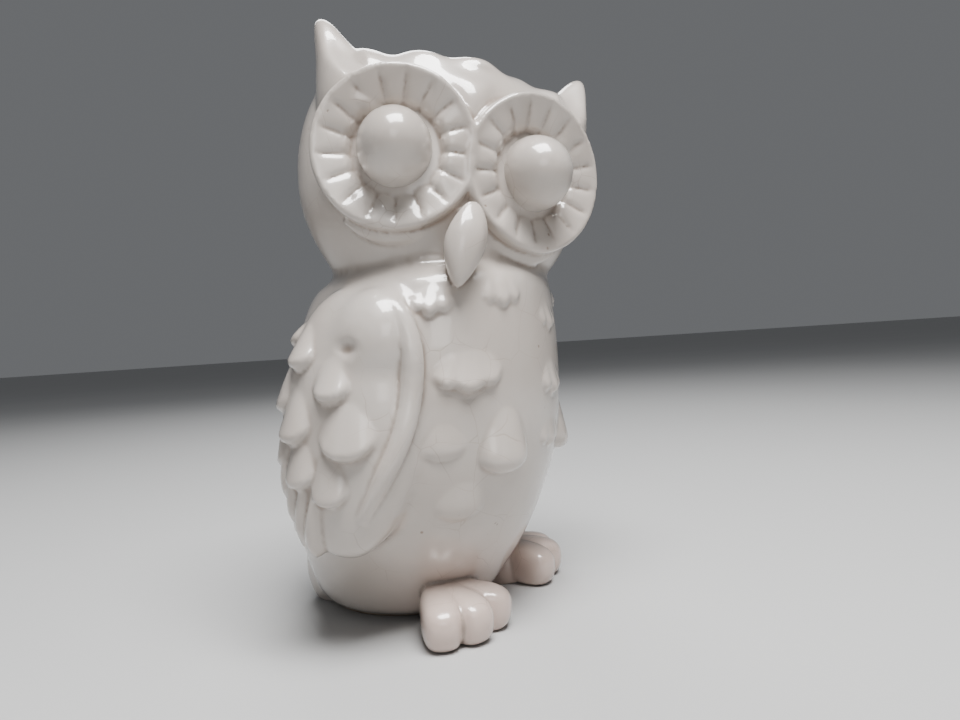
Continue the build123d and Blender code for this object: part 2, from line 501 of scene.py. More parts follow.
    @staticmethod
    def copy_of(item: bpy.types.Object) -> bpy.types.Object:
        """A copy with its own mesh."""
        twin = item.copy()
        twin.data = item.data.copy()
        bpy.context.scene.collection.objects.link(twin)
        return twin

    @staticmethod
    def soft(item: bpy.types.Object, angle: float = 50.0) -> None:
        """Smooth shading, with edges sharper than angle kept."""
        Bench.hold(item)
        bpy.ops.object.shade_smooth_by_angle(angle=math.radians(angle))


def skin_of(sections: list[tuple[float, float, float, float]], angle: float, height: float) -> Matrix:
    """A place on the skin of a form: x runs round it, y up it and z straight out.

    Args:
        sections: the form's rings, as height, half width, half depth and middle along Y.
        angle: degrees round it from the chest line, towards the owl's left.
        height: millimetres above its foot.

    Returns:
        The place.
    """
    turn = math.radians(angle)

    def point(z: float) -> Vector:
        """The point of the skin at height z."""
        for low, high in zip(sections, sections[1:]):
            if z <= high[0]:
                break
        t = (z - low[0]) / (high[0] - low[0])
        a, b, y = (p + t * (q - p) for p, q in zip(low[1:], high[1:]))
        return Vector((a * math.sin(turn), y - b * math.cos(turn), z))

    here, above = point(height), point(height + 3)
    along = Vector((math.cos(turn), math.sin(turn), 0))
    return axes(here, along, along.cross(above - here))


class Skin:
    """The sponged skin of the thrown forms, that feathers are seated on."""

    def __init__(self, core: bpy.types.Object) -> None:
        """Takes the skin as it is now."""
        mesh = core.data
        corners = [vertex.co.copy() for vertex in mesh.vertices]
        self.tree = BVHTree.FromPolygons(corners, [tuple(face.vertices) for face in mesh.polygons])

    def seat(self, place: Matrix) -> Matrix:
        """The place brought to the nearest point of the skin and set square to it.

        Args:
            place: a place near the skin, in millimetres.

        Returns:
            The seated place.
        """
        hit, out, _, _ = self.tree.find_nearest(place.translation * MM)
        return axes(hit / MM, place.col[0].to_3d(), out)


@dataclass(frozen=True)
class Dent:
    """A shallow hollow pressed in with a fingertip or a tool."""

    place: Matrix
    half: tuple[float, float]
    depth: float
    bite: float = 5.0

    def press(self, item: bpy.types.Object) -> None:
        """Moves the skin in, along the place's z, where the tool meets it."""
        into = self.place.inverted()
        out = self.place.col[2].to_3d().normalized() * MM
        for vertex in item.data.vertices:
            local = into @ (vertex.co / MM)
            reach = (local.x / self.half[0]) ** 2 + (local.y / self.half[1]) ** 2
            if reach < 1 and abs(local.z) < self.bite:
                vertex.co -= out * self.depth * (1 - reach) ** 2


@dataclass
class Lump:
    """A closed lump of clay, and the piece of the owl that it is part of."""

    piece: str
    clay: bpy.types.Object


@dataclass
class SubAssembly:
    """Something built up from lumps of clay."""

    lumps: list[Lump] = field(default_factory=list)

    def add(self, piece: str, clay: bpy.types.Object) -> None:
        """Keeps a lump under its piece's name."""
        self.lumps.append(Lump(piece, clay))

    def ball(self, piece: str, place: Matrix, half: tuple[float, float, float]) -> None:
        """Presses on one ball of clay."""
        self.add(piece, Bench.ball(piece, place, half))

    def given_up(self) -> list[Lump]:
        """Hands over the lumps made so far, to be worked in with others."""
        lumps, self.lumps = self.lumps, []
        return lumps


@dataclass
class Body(SubAssembly):
    """The thrown body: the rings it is drawn up by, and its tail."""

    neck: float = field(default_factory=lambda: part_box("body_shell")[1][2] / MM)
    half_width: float = 38.0
    half_depth: float = 38.0
    profile: tuple[tuple[float, float, float, float], ...] = (
        (0.00, 0.50, 0.60, 6.0),
        (0.04, 0.55, 0.66, 6.0),
        (0.09, 0.61, 0.73, 5.0),
        (0.15, 0.69, 0.80, 3.5),
        (0.24, 0.83, 0.86, 0.8),
        (0.34, 0.95, 0.93, -0.3),
        (0.47, 1.00, 1.00, -2.2),
        (0.62, 0.99, 1.00, -3.5),
        (0.76, 0.93, 0.96, -5.5),
        (0.90, 0.84, 0.88, -7.7),
        (1.00, 0.77, 0.81, -10.0),
    )

    def sections(self) -> list[tuple[float, float, float, float]]:
        """The rings in millimetres: height, half width, half depth and middle along Y."""
        return [
            (h * self.neck, w * self.half_width, d * self.half_depth, y) for h, w, d, y in self.profile
        ]

    def skin(self, angle: float, height: float) -> Matrix:
        """A place on the body's skin."""
        return skin_of(self.sections(), angle, height)

    def clay(self) -> bpy.types.Object:
        """The drawn-up form."""
        return Bench.rings("body_shell", Matrix.Identity(4), self.sections())

    def tail(self) -> None:
        """A short blunt tail that props the owl up behind."""
        self.ball("tail", moved(0, 26, 8), (12, 8.8, 10.8))
        for across in (-7.0, 0, 7.0):
            self.ball("tail", moved(across, 27.4, 8) @ turned(x=-12), (4.6, 7.4, 12.0))


@dataclass
class Head(SubAssembly):
    """The cast head and everything luted to it, shaped in its own turned frame."""

    neck: float = 92.0
    yaw: float = -46.6
    pitch: float = -3.9
    roll: float = 9.4
    forward: tuple[float, float] = (-17.1, -30.3)
    above_neck: float = 22.5
    half_width: float = 39.0
    half_depth: float = 26.5
    back: float = 26.0
    crown: float = 29.0
    underside: float = -36.0
    profile: tuple[tuple[float, float, float], ...] = (
        (0.00, 0.45, 0.60),
        (0.16, 0.70, 0.85),
        (0.34, 0.93, 0.97),
        (0.54, 1.00, 1.00),
        (0.72, 0.99, 0.98),
        (0.87, 0.92, 0.92),
        (0.96, 0.80, 0.80),
        (1.00, 0.62, 0.62),
    )
    disc_spacing: float = 18.5
    disc_splay: float = 17.1
    disc_tilt: float = -4.4
    disc_thickness: float = 12.0
    disc_side: float = -6.0
    rim_fall: float = 3.0
    petals: int = 17
    steps: int = 12
    eye_radius: float = 9.4
    eye_proud: float = 8.0

    @property
    def place(self) -> Matrix:
        """The middle of the face, with Y to the back of the head."""
        turn = turned(z=self.yaw) @ turned(x=self.pitch) @ turned(y=self.roll)
        return moved(*self.forward, self.neck + self.above_neck) @ turn

    def disc_place(self, side: Side) -> Matrix:
        """The middle of a disc's rim, with x out to the owl's left, y up and z out of the face."""
        face = Matrix(((1, 0, 0, side.value * self.disc_spacing), (0, 0, -1, 0), (0, 1, 0, 0), (0, 0, 0, 1)))
        return self.place @ face @ turned(y=side.value * self.disc_splay) @ turned(x=-self.disc_tilt)

    def clay(self) -> list[bpy.types.Object]:
        """The skull and the cheeks behind the discs."""
        height = self.crown - self.underside
        rings = [
            (self.underside + h * height, w * self.half_width, d * self.half_depth, self.back)
            for h, w, d in self.profile
        ]
        clay = [Bench.rings("head", self.place, rings)]
        for side in Side:
            root = self.place @ moved(side.value * 24.0, 18.0, 18.0)
            clay.append(Bench.ball("head", root, (12.0, 12.5, 11.5)))
        return clay

    def disc(self, side: Side) -> None:
        """A dished disc of petals with a thin raised rim that fades towards the beak."""
        rows = [
            (18.6, -self.disc_thickness, 0.0),
            (19.5, self.disc_side, 0.0),
            (19.8, -2.2, 0.0),
            (19.7, -1.0, 0.0),
            (19.4, -0.3, 0.0),
            (18.9, -0.05, 0.0),
            (18.3, -0.2, 0.08),
            (17.6, -0.45, 0.3),
            (16.4, -0.9, 0.7),
            (14.6, -1.5, 1.0),
            (12.9, -2.15, 1.1),
            (11.7, -2.8, 1.2),
            (10.9, -3.9, 0.9),
            (10.3, -4.9, 0.3),
            (9.6, -5.2, 0.0),
            (5.0, -5.2, 0.0),
        ]
        bulge = (-1.5, -0.3, 0.0, 0.1, 0.16, 0.2, 0.21, 0.2, 0.16, 0.1, 0.0, -0.3)
        Bench.let_go()
        count = self.petals * self.steps
        bpy.ops.mesh.primitive_circle_add(vertices=count, radius=1, fill_type="NGON")
        bpy.ops.object.mode_set(mode="EDIT")
        radius, level, _ = rows[0]
        bpy.ops.transform.resize(value=(radius, radius, 1))
        bpy.ops.transform.translate(value=(0, 0, level))
        for wide, high, _ in rows[1:]:
            bpy.ops.mesh.extrude_region_move(TRANSFORM_OT_translate={"value": (0, 0, high - level)})
            bpy.ops.transform.resize(value=(wide / radius, wide / radius, 1), center_override=(0, 0, high))
            radius, level = wide, high
        Bench.turn_out()
        item = bpy.context.object
        for vertex in item.data.vertices:
            where = vertex.co
            reach = math.hypot(where.x, where.y)
            weight = min(rows, key=lambda row: abs(row[0] - reach) + abs(row[1] - where.z))[2]
            turn = math.atan2(where.y, where.x) / math.tau * count
            inward = -side.value * where.x / max(reach, 0.01)
            fade = max(0.0, (inward - 0.5) / 0.5) * max(0.0, min(1.0, (reach - 13) / 5))
            if where.z > self.disc_side:
                where.z += weight * bulge[round(turn) % self.steps] - self.rim_fall * fade
        piece = f"{side.word}_eye_disc"
        self.add(piece, Bench.set_down(item, piece, self.disc_place(side)))

    def eyeball(self, side: Side) -> bpy.types.Object:
        """A smooth dome that stands out of the disc, kept as a piece of its own."""
        place = self.disc_place(side) @ moved(0, 0, self.eye_proud - self.eye_radius * 1.12)
        name = f"{side.word}_eyeball_dome"
        radius = self.eye_radius
        item = Bench.ball(name, place @ turned(x=90), (radius * 0.95, radius * 1.12, radius))
        return Bench.subdivided(item, 1)

    def ear(self, side: Side) -> None:
        """A horn-like ear tuft that flares into the crown."""
        piece = f"{side.word}_ear"
        horn = [
            (6.0, 11.0, 13.0, 15.0, 24.0),
            (14.0, 10.5, 12.5, 15.5, 25.5),
            (20.0, 8.9, 10.8, 16.0, 27.6),
            (25.0, 6.6, 8.4, 17.0, 30.2),
            (29.5, 4.8, 6.2, 18.4, 32.6),
            (33.0, 3.5, 4.4, 19.6, 34.3),
            (35.6, 2.4, 2.9, 20.4, 35.5),
            (37.0, 1.0, 1.2, 20.8, 36.1),
        ]
        rings = [(z, wide, deep, y, side.value * x) for z, wide, deep, y, x in horn]
        self.add(piece, Bench.rings(piece, self.place, rings, 24))

    def ear_hollow(self, side: Side) -> Dent:
        """The long shallow hollow down the front of an ear."""
        root, tip = Vector((side.value * 26.5, 5.0, 15.0)), Vector((side.value * 34.6, 17.0, 34.0))
        along = (self.place.to_3x3() @ (tip - root)).normalized()
        out = self.place.to_3x3() @ Vector((side.value * 0.1, -1.0, 0.45))
        place = axes(self.place @ ((root + tip) / 2), along.cross(out), out)
        return Dent(place, (5.2, 13.0), 2.4)

    def brow(self) -> None:
        """The wedge that runs down between the discs from the crown."""
        corners = [
            (-10.0, 5.0, 26.0),
            (10.0, 5.0, 26.0),
            (-6.0, 1.4, 21.0),
            (6.0, 1.4, 21.0),
            (0.0, -3.4, 15.0),
            (0.0, -3.2, 7.0),
            (-2.0, -1.0, 4.0),
            (2.0, -1.0, 4.0),
            (0.0, 10.0, 5.0),
            (-9.0, 15.0, 27.5),
            (9.0, 15.0, 27.5),
        ]
        clay = Bench.creased(Bench.facets("brow_ridge", self.place, corners), 0.1)
        self.add("brow_ridge", Bench.subdivided(clay, 3))

    def crown_tufts(self) -> None:
        """Soft feathers laid over the crown."""
        for x, y, rise, half in (
            (-10.0, 14.0, -1.9, (8.0, 9.0, 3.2)),
            (2.0, 12.0, -1.8, (8.0, 9.0, 3.2)),
            (13.0, 17.0, -1.9, (8.0, 9.0, 3.2)),
            (-2.0, 22.0, -1.8, (8.0, 9.0, 3.2)),
            (9.0, 27.0, -2.0, (7.0, 9.0, 3.2)),
            (-14.0, 27.0, -2.0, (7.0, 9.0, 3.2)),
        ):
            self.ball("crown_tufts", self.place @ moved(x, y, self.crown + rise) @ turned(x=7), half)

    def beak(self) -> None:
        """A diamond-shaped beak with a low ridge down its front."""
        corners = [
            (1.0, -3.6, -8.0),
            (-2.9, -5.6, -14.0),
            (3.6, -5.6, -14.0),
            (-7.4, -3.0, -21.5),
            (6.2, -3.0, -21.5),
            (-3.6, -8.8, -20.5),
            (2.4, -8.8, -20.5),
            (-4.2, -7.2, -32.0),
            (0.0, -7.2, -32.0),
            (-2.2, -2.4, -34.6),
            (-5.0, 3.0, -22.0),
            (4.5, 3.0, -22.0),
            (0.0, 3.0, -12.0),
        ]
        clay = Bench.creased(Bench.facets("beak", self.place, corners), 0.2)
        self.add("beak", Bench.subdivided(clay, 3))

    def ledges(self) -> None:
        """The low crescent that shows under each disc."""
        for side in Side:
            rim = self.disc_place(side)
            points = []
            for step in range(7):
                turn = math.radians(-90 + side.value * (step - 3) * 11)
                points.append((20.6 * math.cos(turn), 20.6 * math.sin(turn), -5.0))
            self.add(
                "head_shell", Bench.roll("head_shell", rim, points, [0.5, 1.4, 1.9, 2.1, 1.9, 1.4, 0.5])
            )


@dataclass
class Wing(SubAssembly):
    """A folded wing with a rolled front edge, scale-like coverts and long flight feathers."""

    side: Side = Side.RIGHT
    body: Body = None
    skin: Skin = None
    angle: float = 89.0
    height: float = 56.0
    outline: tuple[tuple[float, float], ...] = (
        (-1.6, 31.0),
        (-12.0, 25.5),
        (-17.4, 14.0),
        (-17.8, 3.0),
        (-13.4, -9.0),
        (-5.0, -21.0),
        (3.0, -28.5),
        (9.0, -32.5),
        (14.6, -32.0),
        (19.0, -22.0),
        (21.0, -8.0),
        (20.5, 6.0),
        (16.0, 19.0),
        (8.0, 28.0),
    )
    dome: tuple[float, float, float] = (18.0, 32.0, 9.8)
    dome_middle: tuple[float, float, float] = (1.2, -1.5, -3.6)
    bend: float = 42.0
    coverts: tuple[tuple[float, float, float, float], ...] = (
        (15.0, 16.5, 4.0, 9.0),
        (9.2, 10.2, 4.0, 10.0),
        (-0.4, 2.2, 4.7, 9.0),
        (17.2, 1.0, 4.2, 10.0),
        (10.4, -6.8, 5.2, 11.0),
        (-4.2, -10.6, 7.0, 11.0),
        (17.4, -12.0, 4.2, 10.0),
        (8.8, -16.8, 5.0, 10.0),
        (0.6, -20.6, 4.8, 10.0),
    )
    flights: tuple[tuple[float, float, float], ...] = (
        (18.6, -24.5, 2.7),
        (15.8, -28.5, 2.8),
        (12.4, -31.0, 2.8),
        (8.6, -32.2, 2.8),
    )

    @property
    def place(self) -> Matrix:
        """The wing's frame: x to the owl's back, y up and z outwards."""
        flat = self.body.skin(self.angle, self.height)
        if self.side is Side.RIGHT:
            return Matrix.Diagonal((-1, 1, 1, 1)) @ flat
        return flat

    def top(self, x: float, y: float) -> float:
        """How far out the wing's dome is."""
        a, b, c = self.dome
        u, v, w = self.dome_middle
        inside = max(0.0, 1 - ((x - u) / a) ** 2 - ((y - v) / b) ** 2)
        return max(w + c * math.sqrt(inside), -1.8 - self.fall(x))

    def fall(self, x: float) -> float:
        """How far the wing's back half bends in to follow the body."""
        return max(0.0, x - 4.0) ** 2 / self.bend

    def spot(self, x: float, y: float) -> Matrix:
        """A place on the dome, with z square to it."""
        here = Vector((x, y, self.top(x, y)))
        right = Vector((x + 1, y, self.top(x + 1, y))) - here
        up = Vector((x, y + 1, self.top(x, y + 1))) - here
        return self.place @ axes(here, right, right.cross(up))

    def seated(self, x: float, y: float) -> Matrix:
        """A place on the sponged wing."""
        return self.skin.seat(self.spot(x, y))

    def leaning(self, x: float, y: float) -> Callable[[float, float], Matrix]:
        """The skin round a flight feather, whose quill leans forward as it goes up.

        Args:
            x: its lip, behind the wing's middle.
            y: its lip, above the wing's middle.

        Returns:
            The place so far across and so far above the lip.
        """
        lean = math.radians(16)
        c, s = math.cos(lean), math.sin(lean)
        return lambda u, v: self.seated(x + u * c - v * s, y + u * s + v * c)

    def dimple(self) -> Dent:
        """The thumb mark below the shoulder."""
        return Dent(self.spot(-4.0, 14.5), (3.6, 2.6), 1.5)

    def clay(self) -> list[Lump]:
        """The wing's broad form, which is sponged into the body."""
        wing = f"{self.side.word}_wing"
        slab = Bench.slab(wing, Matrix.Identity(4), list(self.outline), -14.0, -1.8, 0.94)
        for vertex in slab.data.vertices:
            vertex.co.z -= self.fall(vertex.co.x / MM) * MM
        to_metres = Matrix.Scale(MM, 4)
        slab.data.transform(to_metres @ self.place @ to_metres.inverted())
        if self.side is Side.RIGHT:
            slab.data.flip_normals()
        dome = Bench.ball(wing, self.place @ moved(*self.dome_middle), self.dome)
        shoulder = Bench.ball(wing, self.place @ moved(-5.5, 16.0, -3.4) @ turned(z=22), (12.0, 14.0, 9.2))
        return [Lump(wing, item) for item in (slab, dome, shoulder)]

    def build(self) -> None:
        """Lays the wing's edge, its coverts and its flight feathers."""
        wing = f"{self.side.word}_wing"
        edge = (
            (-5.0, 28.0, -1.4, 1.2),
            (-11.0, 24.4, -0.6, 2.4),
            (-15.6, 16.0, 0.2, 2.7),
            (-17.0, 5.0, 0.6, 2.7),
            (-15.2, -6.0, 0.6, 2.5),
            (-10.6, -16.0, 0.3, 2.1),
            (-5.8, -24.0, -0.5, 1.3),
        )
        path = [tuple((self.seated(x, y) @ Vector((0, 0, out)))) for x, y, out, _ in edge]
        thick = [radius for _, _, _, radius in edge]
        self.add(wing, Bench.roll(wing, Matrix.Identity(4), path, thick))
        name = f"{wing}_coverts"
        for x, y, half, length in self.coverts:
            proud = 3.4 if x < 14.0 else 2.2
            cut = Scallop(half * 1.12, length * 1.4, proud, bow=1.05, edge=2.0, melt=1.25)
            self.add(name, Bench.feather(name, lambda u, v, x=x, y=y: self.seated(x + u, y + v), cut))
        name = f"{self.side.word}_flight_feathers"
        for x, y, half in self.flights:
            cut = Scallop(half, 20.0, 3.0, bow=1.1, edge=1.6, melt=0.6)
            self.add(name, Bench.feather(name, self.leaning(x, y), cut))


@dataclass
class Chest(SubAssembly):
    """The feathers pressed into the chest, each a lobed lip that stands off the skin."""

    body: Body = None
    skin: Skin = None
    tufts: tuple[tuple[float, float, float, float, float, int], ...] = (
        (0.0, 73.0, 5.8, 11.0, 1.8, 3),
        (31.0, 78.5, 6.6, 13.0, 1.9, 3),
        (62.0, 77.0, 6.2, 11.0, 2.8, 3),
        (0.0, 56.5, 6.0, 13.0, 2.6, 3),
        (45.0, 59.0, 9.0, 14.0, 3.4, 3),
        (0.0, 43.0, 6.0, 12.0, 2.2, 3),
        (29.0, 39.5, 6.8, 18.0, 5.6, 1),
        (53.0, 44.0, 5.6, 12.0, 1.8, 1),
        (44.0, 29.0, 7.0, 12.0, 2.2, 1),
    )

    def build(self) -> None:
        """Presses every feather on, the same on both sides of the chest line."""
        for angle, lip, half, length, proud, lobes in self.tufts:
            for side in Side:
                if angle == 0 and side is Side.RIGHT:
                    continue
                shape = {"edge": 5.0, "melt": 1.3} if lobes == 1 else {}
                self.tuft(side.value * angle, lip, Scallop(half, length, proud, lobes, **shape))

    def tuft(self, angle: float, lip: float, cut: Scallop) -> None:
        """One feather.

        Args:
            angle: degrees round the body from the chest line.
            lip: height of its lower lip.
            cut: its sizes.
        """

        def skin(across: float, above: float) -> Matrix:
            """The chest's skin round the feather."""
            height = min(lip + above, self.body.neck - 3)
            return self.skin.seat(self.body.skin(angle + math.degrees(across / 33.0), height))

        self.add("chest_feathers", Bench.feather("chest_feathers", skin, cut))


@dataclass
class Foot(SubAssembly):
    """A foot of three plump toes."""

    side: Side = Side.RIGHT
    ankle: tuple[float, float, float] = (19.5, -13.5, 5.2)
    toe: tuple[float, float, float] = (5.4, 10.5, 5.8)
    instep: float = 9.0
    turns: tuple[float, float, float] = (-13.0, 25.0, 57.0)
    lean: float = 2.4

    def build(self) -> None:
        """Presses the toes and the instep on."""
        name = f"{self.side.word}_foot"
        mirror = Matrix.Diagonal((self.side.value, 1, 1, 1))
        ankle = moved(self.lean) @ mirror @ moved(*self.ankle)
        wide, long, high = self.toe
        self.ball(name, ankle @ moved(-3.4, -1.0, 0.0), (wide * 0.95, long * 0.75, self.instep))
        for turn in self.turns:
            toe = ankle @ turned(z=turn) @ moved(0, -long * 0.84, 0.4) @ turned(x=6)
            self.add(name, Bench.pebble(name, toe, (wide * 0.93, long * 0.96, high), 0.24))


@dataclass(frozen=True)
class Base:
    """The unglazed foot ring, with the hole that the slip was poured out of."""

    half_width: float = 16.0
    half_depth: float = 20.0
    thick: float = 2.2
    hole: float = 5.0
    back: float = 8.0
    chamfer: float = 0.6

    def build(self) -> bpy.types.Object:
        """Turns the ring.

        Returns:
            The piece.
        """
        Bench.let_go()
        bpy.ops.mesh.primitive_circle_add(vertices=96, radius=self.hole, fill_type="NOTHING")
        bpy.ops.object.mode_set(mode="EDIT")
        steps = (
            (self.half_width - self.chamfer, self.half_depth - self.chamfer, 0.0),
            (self.half_width, self.half_depth, self.chamfer),
            (self.half_width, self.half_depth, self.thick),
            (self.hole, self.hole, self.thick),
            (self.hole, self.hole, 0.0),
        )
        wide, deep, low = self.hole, self.hole, 0.0
        for next_wide, next_deep, high in steps:
            bpy.ops.mesh.extrude_edges_move(TRANSFORM_OT_translate={"value": (0, 0, high - low)})
            bpy.ops.transform.resize(
                value=(next_wide / wide, next_deep / deep, 1), center_override=(0, 0, high)
            )
            wide, deep, low = next_wide, next_deep, high
        bpy.ops.mesh.select_all(action="SELECT")
        bpy.ops.mesh.remove_doubles(threshold=0.001)
        Bench.turn_out()
        return Bench.set_down(bpy.context.object, "foot_ring", moved(0, self.back, 0))


@dataclass
class Potter:
    """Fuses the lumps into one skin, sponges it and parts it again into the owl's named pieces."""

    coarse: float = 1.3
    fine: float = 0.505
    quick: float = 0.9
    sponged: int = 4
    thrown_sponged: int = 16
    # How far and how deep the hollow measure reaches; it drives the painted shade in the glaze's hollows.
    tint_reach: int = 26
    tint_depth: float = 0.3
    neck: float = 92.0

    @staticmethod
    def tree(parts: list[tuple[list[str], bpy.types.Object]]) -> tuple[BVHTree, list[str]]:
        """Gathers meshes for asking which one a point is nearest to.

        Args:
            parts: each mesh, and a piece's name for each of its faces.

        Returns:
            The tree, and the name for each of its faces.
        """
        points: list[Vector] = []
        faces: list[tuple[int, ...]] = []
        owners: list[str] = []
        for names, item in parts:
            start = len(points)
            points.extend(vertex.co.copy() for vertex in item.data.vertices)
            faces.extend(tuple(start + index for index in face.vertices) for face in item.data.polygons)
            owners.extend(names)
        return BVHTree.FromPolygons(points, faces), owners

    def throw(self, thrown: list[Lump], dents: list[Dent]) -> tuple[bpy.types.Object, list[str]]:
        """Sponges the broad forms well into each other.

        Args:
            thrown: the broad forms.
            dents: what is pressed into them afterwards.

        Returns:
            Their one skin, and the name of the piece that each of its faces belongs to.
        """
        raw = [([lump.piece] * len(lump.clay.data.polygons), lump.clay) for lump in thrown]
        raw_tree, raw_owners = self.tree(raw)
        core = Bench.fused("core", [lump.clay for lump in thrown], self.coarse, self.thrown_sponged)
        core_names = []
        for face in core.data.polygons:
            owner = raw_owners[raw_tree.find_nearest(face.center)[2]]
            if owner.endswith("_shell"):
                owner = "body_shell" if face.center.z < self.neck * MM else "head_shell"
            core_names.append(owner)
        for dent in dents:
            dent.press(core)
        return core, core_names

    def fuse(
        self, core: bpy.types.Object, core_names: list[str], lumps: list[Lump], dents: list[Dent]
    ) -> dict[str, bpy.types.Object]:
        """Makes the whole figurine's skin and parts it by piece.

        Args:
            core: the thrown forms' skin.
            core_names: the name of the piece that each of its faces belongs to.
            lumps: everything worked onto it.
            dents: what is pressed in afterwards.

        Returns:
            The pieces by the name of the node that each stands for.
        """
        applied = [([lump.piece] * len(lump.clay.data.polygons), lump.clay) for lump in lumps]
        nearest, owners = self.tree([(core_names, core), *applied])
        voxel = self.fine
        whole = Bench.fused("owl", [core] + [lump.clay for lump in lumps], voxel, 0)
        for vertex in whole.data.vertices:
            vertex.co.z = max(0.0, vertex.co.z)
        for dent in dents:
            dent.press(whole)
        Bench.finish_with(whole, "SMOOTH", factor=0.5, iterations=self.sponged)
        self.mark_hollows(whole)
        names = sorted(set(owners))
        whole.data.materials.clear()
        for _ in names:
            whole.data.materials.append(None)
        for face in whole.data.polygons:
            face.use_smooth = True
            face.material_index = names.index(owners[nearest.find_nearest(face.center)[2]])
        Bench.hold(whole)
        before = set(bpy.data.objects)
        slots = {}
        for index, name in enumerate(names):
            slot = bpy.data.materials.new(f"part_{index}")
            whole.data.materials[index] = slot
            slots[slot.name] = name
        bpy.ops.object.mode_set(mode="EDIT")
        bpy.ops.mesh.separate(type="MATERIAL")
        bpy.ops.object.mode_set(mode="OBJECT")
        parted = [whole] + [item for item in bpy.data.objects if item not in before]
        pieces = {}
        for item in parted:
            name = slots[item.data.materials[item.data.polygons[0].material_index].name]
            pieces[name] = self.closed(item, f"{name}_form")
        for slot in slots:
            bpy.data.materials.remove(bpy.data.materials[slot])
        return pieces

    def mark_hollows(self, whole: bpy.types.Object) -> None:
        """Measures at each point how far it lies in a hollow, and keeps its normal.

        Args:
            whole: the fused skin; it gets the attributes hollow and skin_normal.
        """
        twin = Bench.copy_of(whole)
        Bench.finish_with(twin, "SMOOTH", factor=0.5, iterations=int(self.tint_reach * (0.5 / self.fine)))
        mesh = whole.data
        hollow = mesh.attributes.new("hollow", "FLOAT", "POINT")
        normal = mesh.attributes.new("skin_normal", "FLOAT_VECTOR", "POINT")
        for index, (vertex, smooth) in enumerate(zip(mesh.vertices, twin.data.vertices)):
            depth = (smooth.co - vertex.co).dot(vertex.normal) / MM
            hollow.data[index].value = max(-1.0, min(1.0, depth / self.tint_depth))
            normal.data[index].vector = vertex.normal
        bpy.data.objects.remove(twin)

    @staticmethod
    def closed(item: bpy.types.Object, name: str) -> bpy.types.Object:
        """Closes a parted piece where it was joined to its neighbours, keeping the skin's shading.

        Args:
            item: the open piece.
            name: its new name.

        Returns:
            The same piece.
        """
        item.name = name
        item.data.name = name
        item.data.materials.clear()
        clay = bmesh.new()
        clay.from_mesh(item.data)
        normal = clay.verts.layers.float_vector["skin_normal"]
        open_edges = {edge for edge in clay.edges if edge.is_boundary}
        while open_edges:
            edge = open_edges.pop()
            loop, tip = [edge], edge.verts[1]
            while True:
                onward = next((other for other in tip.link_edges if other in open_edges), None)
                if onward is None:
                    break
                open_edges.remove(onward)
                loop.append(onward)
                tip = onward.other_vert(tip)
            rim = {vertex for edge in loop for vertex in edge.verts}
            middle = sum((vertex.co for vertex in rim), Vector()) / len(rim)
            out = sum((vertex[normal] for vertex in rim), Vector()) / len(rim)
            radius = sum((vertex.co - middle).length for vertex in rim) / len(rim)
            apex = clay.verts.new(middle - out * radius * APEX)
            apex[normal] = out if out.length > 0.01 else Vector((0, 0, 1))
            sunk = {}
            for vertex in rim:
                sunk[vertex] = clay.verts.new(vertex.co - vertex[normal] * SKIRT * MM)
                sunk[vertex][normal] = vertex[normal]
            for edge in loop:
                corner = edge.link_loops[0]
                first, second = corner.vert, corner.link_loop_next.vert
                clay.faces.new((second, first, sunk[first], sunk[second]))
                clay.faces.new((sunk[second], sunk[first], apex))
        clay.to_mesh(item.data)
        clay.free()
        normals = [tuple(entry.vector) for entry in item.data.attributes["skin_normal"].data]
        item.data.normals_split_custom_set_from_vertices(normals)
        item.data.attributes.remove(item.data.attributes["skin_normal"])
        return item


class Wire:
    """A shader socket that can be added, multiplied and so on, as a plain number can."""

    def __init__(self, recipe: "Recipe", socket: bpy.types.NodeSocket) -> None:
        """Keeps the socket and the material that it is in."""
        self.recipe = recipe
        self.socket = socket

    def sum_of(self, operation: str, *values: object) -> "Wire":
        """A Math node on this socket and the values."""
        return self.recipe.node("ShaderNodeMath", {"operation": operation}, list(values))

    def __add__(self, other: object) -> "Wire":
        """This plus other."""
        return self.sum_of("ADD", self, other)

    __radd__ = __add__

    def __sub__(self, other: object) -> "Wire":
        """This less other."""
        return self.sum_of("SUBTRACT", self, other)

    def __rsub__(self, other: object) -> "Wire":
        """Other less this."""
        return self.sum_of("SUBTRACT", other, self)

    def __mul__(self, other: object) -> "Wire":
        """This times other."""
        return self.sum_of("MULTIPLY", self, other)

    __rmul__ = __mul__

    def between(self, low: float, high: float) -> "Wire":
        """Rises smoothly from 0 at low to 1 at high."""
        return self.recipe.node(
            "ShaderNodeMapRange",
            {"interpolation_type": "SMOOTHSTEP"},
            {"Value": self, "From Min": low, "From Max": high},
        )


